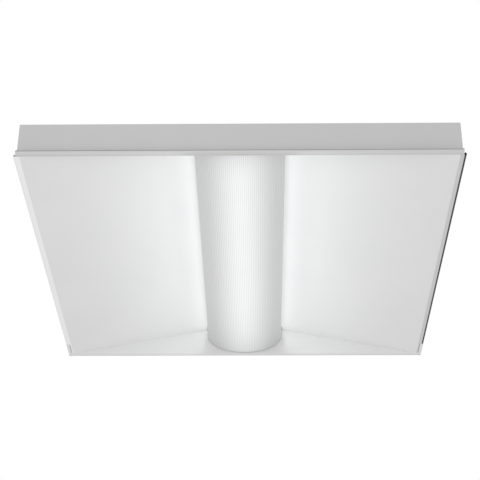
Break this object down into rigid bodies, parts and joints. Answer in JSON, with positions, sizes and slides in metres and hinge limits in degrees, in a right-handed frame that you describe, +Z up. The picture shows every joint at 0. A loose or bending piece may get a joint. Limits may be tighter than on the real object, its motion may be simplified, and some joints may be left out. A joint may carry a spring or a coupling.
{
  "type": "recessed troffer light",
  "caption": "Square recessed ceiling troffer with two sloping white wing reflectors, a central prismatic trough diffuser, end plates and a driver channel on top.",
  "frame": {"origin": "centre of the flange's underside, which rests on the ceiling grid", "axes": "+X across the wings, +Y along the diffuser towards the wiring box, +Z up into the ceiling"},
  "size_m": [0.6032, 0.6032, 0.0794],
  "materials": {
    "white_enamel": "matte white post-painted enamel",
    "diffuser_acrylic": "frosted acrylic with lengthwise prisms",
    "white_plastic": "moulded white plastic",
    "board_white": "white solder mask",
    "led_phosphor": "yellow phosphor",
    "spring_steel": "bare spring steel",
    "galvanised_steel": "galvanised, light spangle",
    "zinc_steel": "bright zinc plate",
    "driver_enamel": "light grey enamel",
    "terminal_grey": "moulded grey plastic",
    "black_plastic": "moulded black nylon",
    "disconnect_orange": "moulded orange plastic",
    "wire_black": "satin insulation",
    "wire_white": "satin insulation",
    "wire_green": "satin insulation",
    "wire_red": "satin insulation",
    "ground_green": "green passivated"
  },
  "bodies": {
    "housing": {"wing_left": "white_enamel", "wing_right": "white_enamel", "end_plate_front": "white_enamel", "end_plate_rear": "white_enamel", "led_tray": "white_enamel", "wiring_box": "white_enamel", "diffuser_clips": "spring_steel", "led_board_front_left": "board_white", "led_board_front_right": "board_white", "led_board_rear_left": "board_white", "led_board_rear_right": "board_white", "led_chips": "led_phosphor", "board_connectors": "white_plastic", "board_jumpers": "wire_white", "tray_bushing": "black_plastic", "box_grommet": "black_plastic", "feed_wires": "wire_red", "driver_base": "galvanised_steel", "driver_case": "driver_enamel", "driver_terminals": "terminal_grey", "cover_hinge_leaves": "galvanised_steel", "hinge_pins": "zinc_steel", "latch_receptacle": "zinc_steel", "access_plate": "galvanised_steel", "knockout_slug": "galvanised_steel", "line_wire": "wire_black", "neutral_wire": "wire_white", "ground_wire": "wire_green", "disconnect_plug": "disconnect_orange", "disconnect_socket": "disconnect_orange", "wing_screws": "zinc_steel", "end_plate_screws": "zinc_steel", "wiring_box_screws": "zinc_steel", "ground_screw": "ground_green", "driver_screws": "zinc_steel", "board_screws": "zinc_steel", "access_plate_screws": "zinc_steel", "grid_clip_rivets": "zinc_steel"},
    "driver_cover": {"driver_cover": "white_enamel"},
    "cover_latch": {"cover_latch": "zinc_steel"},
    "diffuser": {"diffuser": "diffuser_acrylic", "diffuser_cap_front": "white_plastic", "diffuser_cap_rear": "white_plastic"},
    "grid_clip_front_left": {"grid_clip_front_left": "galvanised_steel"},
    "grid_clip_rear_left": {"grid_clip_rear_left": "galvanised_steel"},
    "grid_clip_front_right": {"grid_clip_front_right": "galvanised_steel"},
    "grid_clip_rear_right": {"grid_clip_rear_right": "galvanised_steel"}
  },
  "joints": [
    {"name": "grid_clip_front_left_swing", "type": "hinge", "parent": "housing", "child": "grid_clip_front_left", "pos_m": [-0.29712, -0.27832, 0.0438], "axis": [-1, 0, 0], "range_deg": [0, 90]},
    {"name": "grid_clip_rear_left_swing", "type": "hinge", "parent": "housing", "child": "grid_clip_rear_left", "pos_m": [-0.29712, 0.27832, 0.0438], "axis": [1, 0, 0], "range_deg": [0, 90]},
    {"name": "grid_clip_front_right_swing", "type": "hinge", "parent": "housing", "child": "grid_clip_front_right", "pos_m": [0.29712, -0.27832, 0.0438], "axis": [-1, 0, 0], "range_deg": [0, 90]},
    {"name": "grid_clip_rear_right_swing", "type": "hinge", "parent": "housing", "child": "grid_clip_rear_right", "pos_m": [0.29712, 0.27832, 0.0438], "axis": [1, 0, 0], "range_deg": [0, 90]},
    {"name": "driver_cover_hinge", "type": "hinge", "parent": "housing", "child": "driver_cover", "pos_m": [-0.0521, 0, 0.0536], "axis": [0, -1, 0], "range_deg": [0, 110]},
    {"name": "cover_latch_turn", "type": "hinge", "parent": "driver_cover", "child": "cover_latch", "pos_m": [0.0493, -0.055, 0.0542], "axis": [0, 0, 1], "range_deg": [0, 90]},
    {"name": "diffuser_drop", "type": "slide", "parent": "housing", "child": "diffuser", "axis": [0, 0, -1], "range_m": [0, 0.06]}
  ]
}
